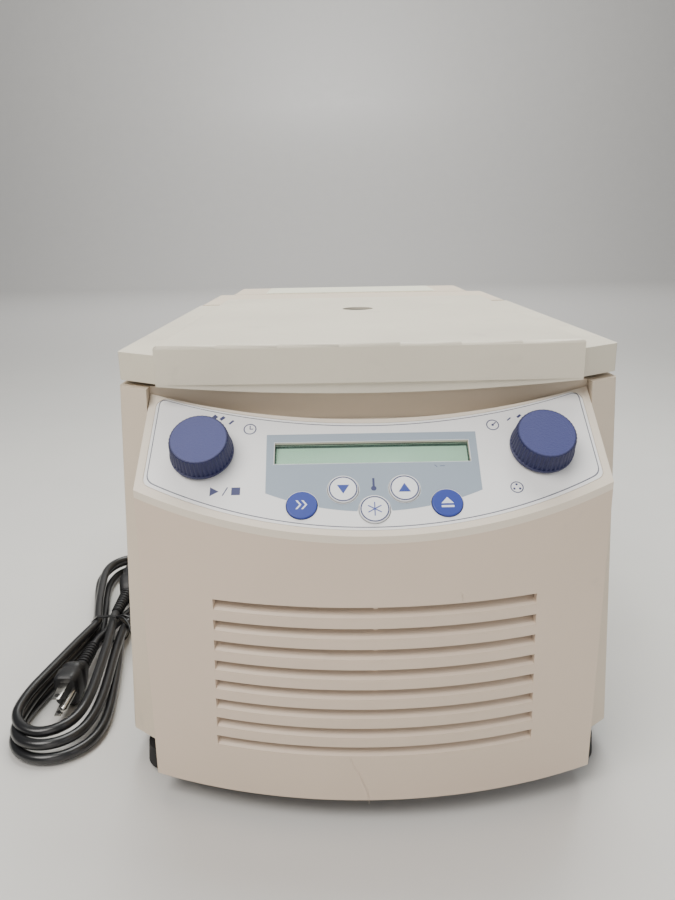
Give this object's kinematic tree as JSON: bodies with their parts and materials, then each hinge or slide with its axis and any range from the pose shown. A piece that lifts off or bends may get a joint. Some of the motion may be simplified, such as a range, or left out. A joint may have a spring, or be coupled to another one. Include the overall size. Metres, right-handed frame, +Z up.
{
  "type": "refrigerated microcentrifuge",
  "caption": "Bench microcentrifuge with a rear-hinged lid, sloped control panel with two push knobs and keys, louvred front, cold rotor chamber and a detached mains cord.",
  "frame": {"origin": "on the floor, under the middle of the machine's own box, without the power cord", "axes": "+Z up, the front of the machine faces -Y, +X to the operator's right"},
  "size_m": [0.381, 0.5411, 0.255],
  "materials": {
    "housing_plastic": "satin",
    "panel_plastic": "satin",
    "overlay_film": "satin",
    "label_film": "satin",
    "clear_window": "polished",
    "port_glass": "polished",
    "lcd_green": "matte",
    "board_green": "satin",
    "knob_blue": "matte",
    "button_blue": "satin",
    "button_white": "satin",
    "black_rubber": "matte",
    "black_plastic": "satin",
    "steel_sheet": "satin",
    "stainless_steel": "brushed",
    "anodised_aluminium": "satin",
    "bright_steel": "polished",
    "copper_tube": "satin",
    "black_enamel": "gloss",
    "grey_foam": "matte",
    "cord_pvc": "satin"
  },
  "bodies": {
    "machine": {"main_housing": "housing_plastic", "rear_cover": "housing_plastic", "rating_label": "label_film", "back_panel": "steel_sheet", "base_plate": "steel_sheet", "rubber_feet": "black_rubber", "front_panel": "housing_plastic", "control_panel": "panel_plastic", "control_overlay": "overlay_film", "lcd_window": "clear_window", "lcd_module": "lcd_green", "control_board": "board_green", "rotor_chamber": "stainless_steel", "chamber_gasket": "black_rubber", "chamber_insulation": "grey_foam", "evaporator_coil": "copper_tube", "motor_housing": "anodised_aluminium", "rubber_mounts": "black_rubber", "hinge_pin": "bright_steel", "hinge_brackets": "steel_sheet", "lid_springs": "bright_steel", "latch_housing": "steel_sheet", "compressor": "black_enamel", "discharge_pipe": "copper_tube", "condenser": "anodised_aluminium", "fan_frame": "black_plastic", "mains_inlet": "black_plastic", "switch_frame": "black_plastic", "power_board": "board_green", "case_screws": "bright_steel", "power_cord": "cord_pvc", "cord_tie": "black_plastic", "power_plug": "cord_pvc", "power_connector": "cord_pvc"},
    "lid": {"lid_cover": "housing_plastic", "lid_inner_plate": "stainless_steel", "lid_foam": "grey_foam", "viewing_port": "port_glass", "lid_hinge_arms": "stainless_steel", "lid_latch_hook": "bright_steel"},
    "time_plunger": {"time_push_plunger": "black_plastic"},
    "time_dial": {"time_knob": "knob_blue", "time_encoder_shaft": "bright_steel"},
    "speed_plunger": {"speed_push_plunger": "black_plastic"},
    "speed_dial": {"speed_knob": "knob_blue", "speed_encoder_shaft": "bright_steel"},
    "short_key": {"short_button": "button_blue"},
    "temperature_down_key": {"temperature_down_button": "button_white"},
    "fast_cool_key": {"fast_cool_button": "button_white"},
    "temperature_up_key": {"temperature_up_button": "button_white"},
    "open_key": {"open_button": "button_blue"},
    "rotor_assembly": {"rotor": "anodised_aluminium", "rotor_lid": "anodised_aluminium", "drive_shaft": "bright_steel"},
    "rotor_lid_screw": {"rotor_lid_knob": "black_plastic"},
    "fan": {"condenser_fan": "black_plastic"},
    "rocker": {"power_rocker": "black_plastic"},
    "fuse_holder": {"fuse_drawer": "black_plastic"},
    "pawl": {"latch_pawl": "bright_steel"},
    "release_pull": {"emergency_release": "black_plastic"}
  },
  "joints": [
    {"name": "lid_hinge", "type": "hinge", "parent": "machine", "child": "lid", "pos_m": [0, 0.0766, 0.24], "axis": [-1, 0, 0], "range_deg": [0, 75]},
    {"name": "time_knob_push", "type": "slide", "parent": "machine", "child": "time_plunger", "axis": [0, 0.6428, -0.766], "range_m": [0, 0.0008], "stiffness_N_per_m": 1500},
    {"name": "time_knob_turn", "type": "hinge", "parent": "time_plunger", "child": "time_dial", "pos_m": [-0.0848, -0.23431, 0.2037], "axis": [0, -0.6428, 0.766], "continuous": true},
    {"name": "speed_knob_push", "type": "slide", "parent": "machine", "child": "speed_plunger", "axis": [0, 0.6428, -0.766], "range_m": [0, 0.0008], "stiffness_N_per_m": 1500},
    {"name": "speed_knob_turn", "type": "hinge", "parent": "speed_plunger", "child": "speed_dial", "pos_m": [0.0848, -0.23431, 0.2037], "axis": [0, -0.6428, 0.766], "continuous": true},
    {"name": "short_button_press", "type": "slide", "parent": "machine", "child": "short_key", "axis": [0, 0.6428, -0.766], "range_m": [0, 0.0008], "stiffness_N_per_m": 1200},
    {"name": "temperature_down_button_press", "type": "slide", "parent": "machine", "child": "temperature_down_key", "axis": [0, 0.6428, -0.766], "range_m": [0, 0.0008], "stiffness_N_per_m": 1200},
    {"name": "fast_cool_button_press", "type": "slide", "parent": "machine", "child": "fast_cool_key", "axis": [0, 0.6428, -0.766], "range_m": [0, 0.0008], "stiffness_N_per_m": 1200},
    {"name": "temperature_up_button_press", "type": "slide", "parent": "machine", "child": "temperature_up_key", "axis": [0, 0.6428, -0.766], "range_m": [0, 0.0008], "stiffness_N_per_m": 1200},
    {"name": "open_button_press", "type": "slide", "parent": "machine", "child": "open_key", "axis": [0, 0.6428, -0.766], "range_m": [0, 0.0008], "stiffness_N_per_m": 1200},
    {"name": "rotor_spin", "type": "hinge", "parent": "machine", "child": "rotor_assembly", "pos_m": [0, -0.0358, 0.15], "axis": [0, 0, 1], "continuous": true},
    {"name": "rotor_lid_screw_turn", "type": "hinge", "parent": "rotor_assembly", "child": "rotor_lid_screw", "pos_m": [0, -0.0358, 0.215], "axis": [0, 0, 1], "continuous": true},
    {"name": "condenser_fan_spin", "type": "hinge", "parent": "machine", "child": "fan", "pos_m": [0, -0.16, 0.09], "axis": [0, 1, 0], "continuous": true},
    {"name": "power_rocker_tilt", "type": "hinge", "parent": "machine", "child": "rocker", "pos_m": [0.062, 0.258, 0.082], "axis": [0, 0, 1], "range_deg": [0, 16]},
    {"name": "fuse_drawer_slide", "type": "slide", "parent": "machine", "child": "fuse_holder", "axis": [0, 1, 0], "range_m": [0, 0.02]},
    {"name": "latch_pawl_turn", "type": "hinge", "parent": "machine", "child": "pawl", "pos_m": [0, -0.168, 0.206], "axis": [1, 0, 0], "range_deg": [0, 12], "stiffness_Nm_per_rad": 0.05},
    {"name": "emergency_release_pull", "type": "slide", "parent": "machine", "child": "release_pull", "axis": [1, 0, 0], "range_m": [0, 0.02], "stiffness_N_per_m": 60}
  ]
}
